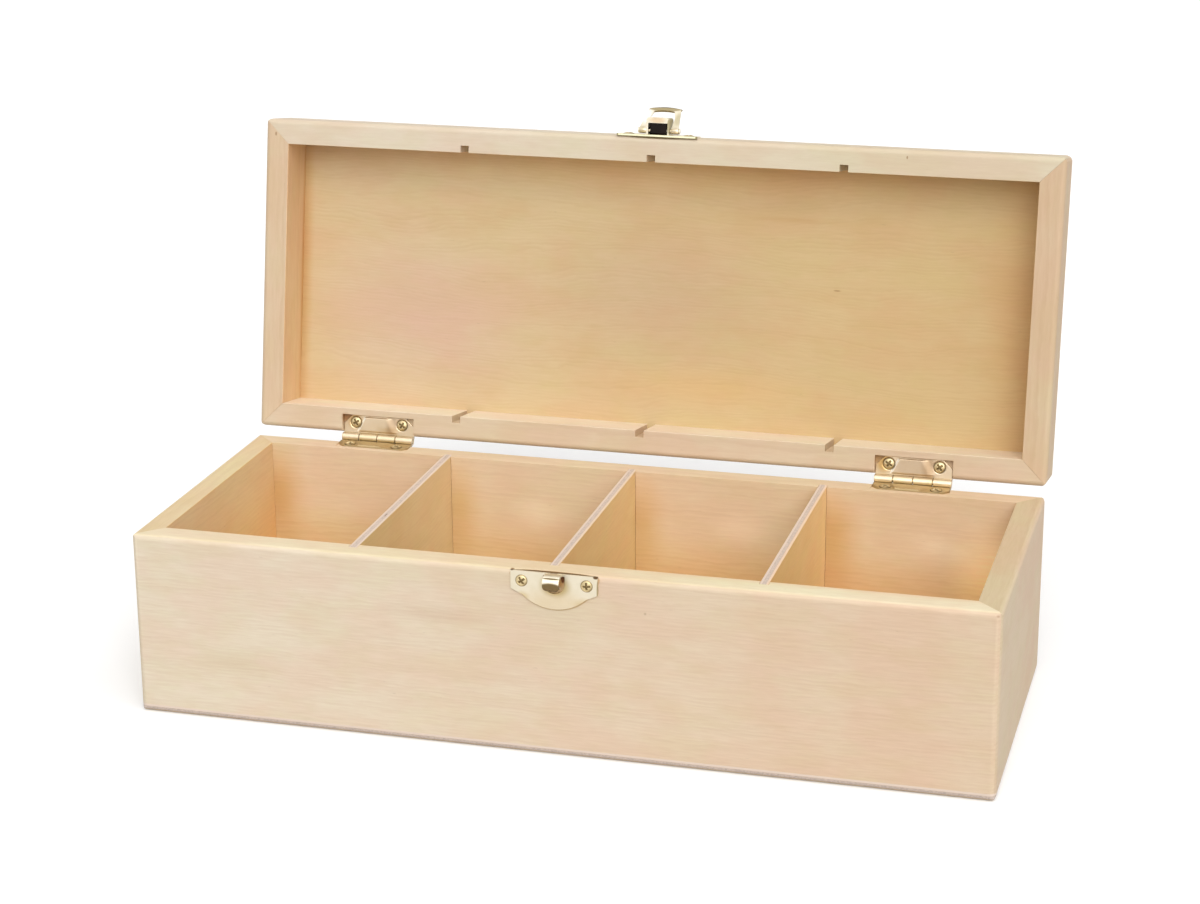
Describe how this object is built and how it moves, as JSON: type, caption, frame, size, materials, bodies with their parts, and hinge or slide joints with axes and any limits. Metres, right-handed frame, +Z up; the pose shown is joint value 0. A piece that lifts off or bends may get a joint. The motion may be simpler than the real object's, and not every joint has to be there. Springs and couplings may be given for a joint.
{
  "type": "tea bag organizer box",
  "caption": "Wooden tea bag organizer box with plywood dividers, a hinged lid on brass-plated butt hinges and a sprung loop latch.",
  "frame": {"origin": "middle of the underside of the base", "axes": "+X along the box to the right seen from the front, +Y from the front to the hinges, +Z up"},
  "size_m": [0.3, 0.1647, 0.1924],
  "materials": {
    "softwood": "sanded, unfinished",
    "bottom_plywood": "sanded, unfinished",
    "lid_plywood": "sanded, unfinished",
    "divider_plywood": "sanded, unfinished",
    "hinge_brass": "brass plated, satin",
    "latch_brass": "pale brass plated, satin",
    "screw_brass": "brass plated, satin",
    "pin_metal": "brass plated wire",
    "spring_steel": "blued"
  },
  "bodies": {
    "base": {"base_front_wall": "softwood", "base_back_wall": "softwood", "base_left_wall": "softwood", "base_right_wall": "softwood", "bottom_panel": "bottom_plywood", "divider_left": "divider_plywood", "divider_middle": "divider_plywood", "divider_right": "divider_plywood", "left_hinge_base_leaf": "hinge_brass", "left_hinge_pin": "pin_metal", "left_hinge_base_screws": "screw_brass", "right_hinge_base_leaf": "hinge_brass", "right_hinge_pin": "pin_metal", "right_hinge_base_screws": "screw_brass", "strike_plate": "latch_brass", "strike_screws": "screw_brass"},
    "lid": {"lid_front_rail": "softwood", "lid_back_rail": "softwood", "lid_left_rail": "softwood", "lid_right_rail": "softwood", "lid_top_panel": "lid_plywood", "left_hinge_lid_leaf": "hinge_brass", "left_hinge_lid_screws": "screw_brass", "right_hinge_lid_leaf": "hinge_brass", "right_hinge_lid_screws": "screw_brass", "latch_plate": "latch_brass", "latch_spring": "spring_steel", "latch_screws": "screw_brass"},
    "latch": {"latch_loop": "latch_brass", "latch_pin": "pin_metal"}
  },
  "joints": [
    {"name": "lid_hinge", "type": "hinge", "parent": "base", "child": "lid", "pos_m": [0, 0.0603, 0.06705], "axis": [1, 0, 0], "range_deg": [0, 100]},
    {"name": "latch_hinge", "type": "hinge", "parent": "lid", "child": "latch", "pos_m": [0.0018, 0.08432, 0.18573], "axis": [1, 0, 0], "range_deg": [0, 142]}
  ]
}
